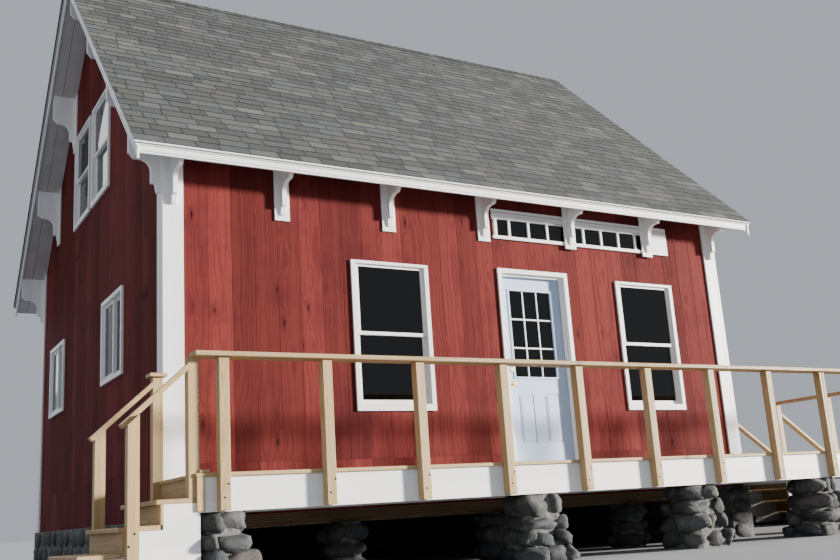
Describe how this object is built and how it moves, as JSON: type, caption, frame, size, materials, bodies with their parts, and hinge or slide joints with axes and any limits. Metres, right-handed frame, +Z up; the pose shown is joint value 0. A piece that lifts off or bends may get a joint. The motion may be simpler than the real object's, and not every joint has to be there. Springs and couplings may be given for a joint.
{
  "type": "gabled board-sided cabin with a railed deck",
  "caption": "One-and-a-half-storey red board cabin with a steep gable roof on sawn white brackets, sash windows, a half-glazed door, a railed deck on stone piers and two short stairs",
  "frame": {"origin": "Middle of the cabin's footprint at ground level, under the centre pier.", "axes": "+X along the front wall toward the corner the deck runs round, +Y from the front wall to the rear wall, +Z up."},
  "size_m": [12.8426, 8.17, 7.6589],
  "materials": {
    "red_siding": "stained, semi-matt",
    "white_trim": "painted, satin",
    "pine": "bare, matt",
    "rough_timber": "bare, matt",
    "soffit_board": "stained, matt",
    "door_paint": "painted, satin",
    "window_vinyl": "smooth",
    "window_glass": "clear, dark inside",
    "brass_fittings": "satin",
    "shingles": "mineral grit, matt",
    "fieldstone": "rough"
  },
  "bodies": {
    "cabin": {"front_wall_left": "red_siding", "front_wall_right": "red_siding", "front_wall_over_door": "red_siding", "front_wall_sill": "red_siding", "rear_wall": "red_siding", "left_gable_wall": "red_siding", "right_gable_wall": "red_siding", "eave_fascias": "white_trim", "barge_boards": "white_trim", "corner_boards": "white_trim", "eave_brackets": "white_trim", "gable_brackets": "white_trim", "deck_rim": "white_trim", "stair_strings": "white_trim", "door_frame": "white_trim", "soffits": "soffit_board", "deck_boards": "pine", "deck_posts": "pine", "rail_cap": "pine", "rear_rail_cap": "pine", "stair_treads": "pine", "stair_risers": "pine", "stair_posts": "pine", "stair_rails": "pine", "stair_sleepers": "pine", "floor_joists": "rough_timber", "floor_beams": "rough_timber", "deck_joists": "rough_timber", "ground_floor": "rough_timber", "upper_floor": "rough_timber", "front_window_frames": "window_vinyl", "rear_window_frames": "window_vinyl", "gable_window_frames": "window_vinyl", "transom_frame": "window_vinyl", "front_window_glass": "window_glass", "rear_window_glass": "window_glass", "gable_window_glass": "window_glass", "transom_glass": "window_glass", "jamb_plates": "brass_fittings", "roof_front_slope": "shingles", "roof_rear_slope": "shingles", "ridge_cap": "shingles", "foundation_walls": "fieldstone", "house_piers": "fieldstone", "deck_piers": "fieldstone"},
    "door": {"door_leaf": "door_paint", "door_glass": "window_glass", "door_lockset": "brass_fittings", "door_hinges": "brass_fittings"}
  },
  "joints": [
    {"name": "door_hinge", "type": "hinge", "parent": "cabin", "child": "door", "pos_m": [1.0715, -3.1227, 2.055], "axis": [0, 0, -1], "range_deg": [0, 95]}
  ]
}
